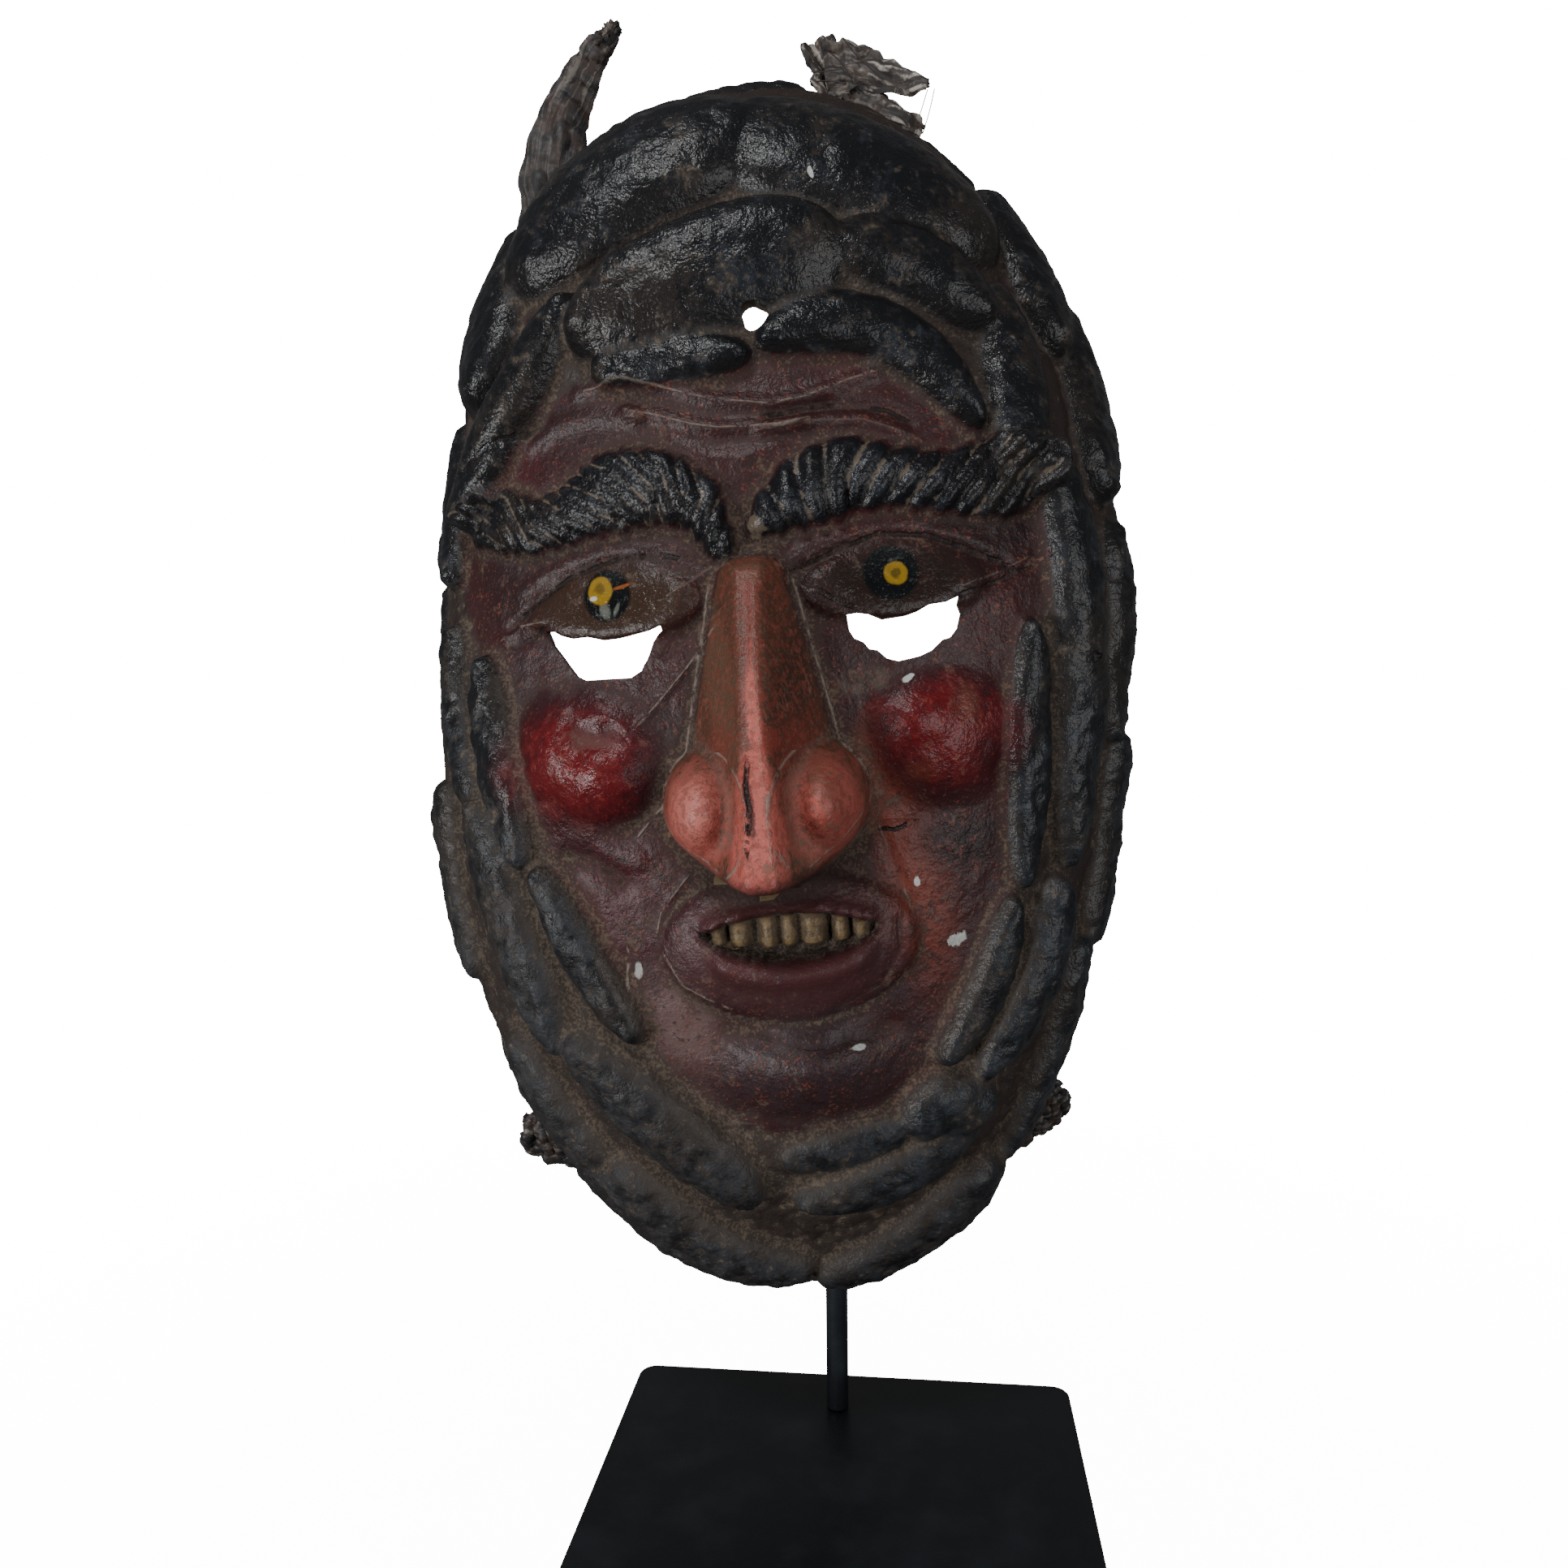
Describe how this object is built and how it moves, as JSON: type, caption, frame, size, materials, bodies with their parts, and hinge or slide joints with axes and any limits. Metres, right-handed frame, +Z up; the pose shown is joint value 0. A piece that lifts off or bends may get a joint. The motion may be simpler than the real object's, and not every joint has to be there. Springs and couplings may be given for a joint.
{
  "type": "turtle mask",
  "caption": "Hollow moulded hide mask of a face framed by thick curled locks, with short torn flaps at its edge and narrow eye slits, held upright by a rod on a flat square plate.",
  "frame": {"origin": "middle of the base plate's flat underside", "axes": "+Z up, from the plate to the top of the mask; -Y the way the face looks; +X to the right as seen by someone in front of the face"},
  "size_m": [0.189, 0.13, 0.3921],
  "materials": {
    "hide": "worn paint on moulded hide, satin where rubbed and dusty in the hollows",
    "stand_steel": "satin black paint"
  },
  "bodies": {
    "root": {"mask": "hide", "hanger": "stand_steel", "post": "stand_steel", "base_plate": "stand_steel"}
  },
  "joints": []
}
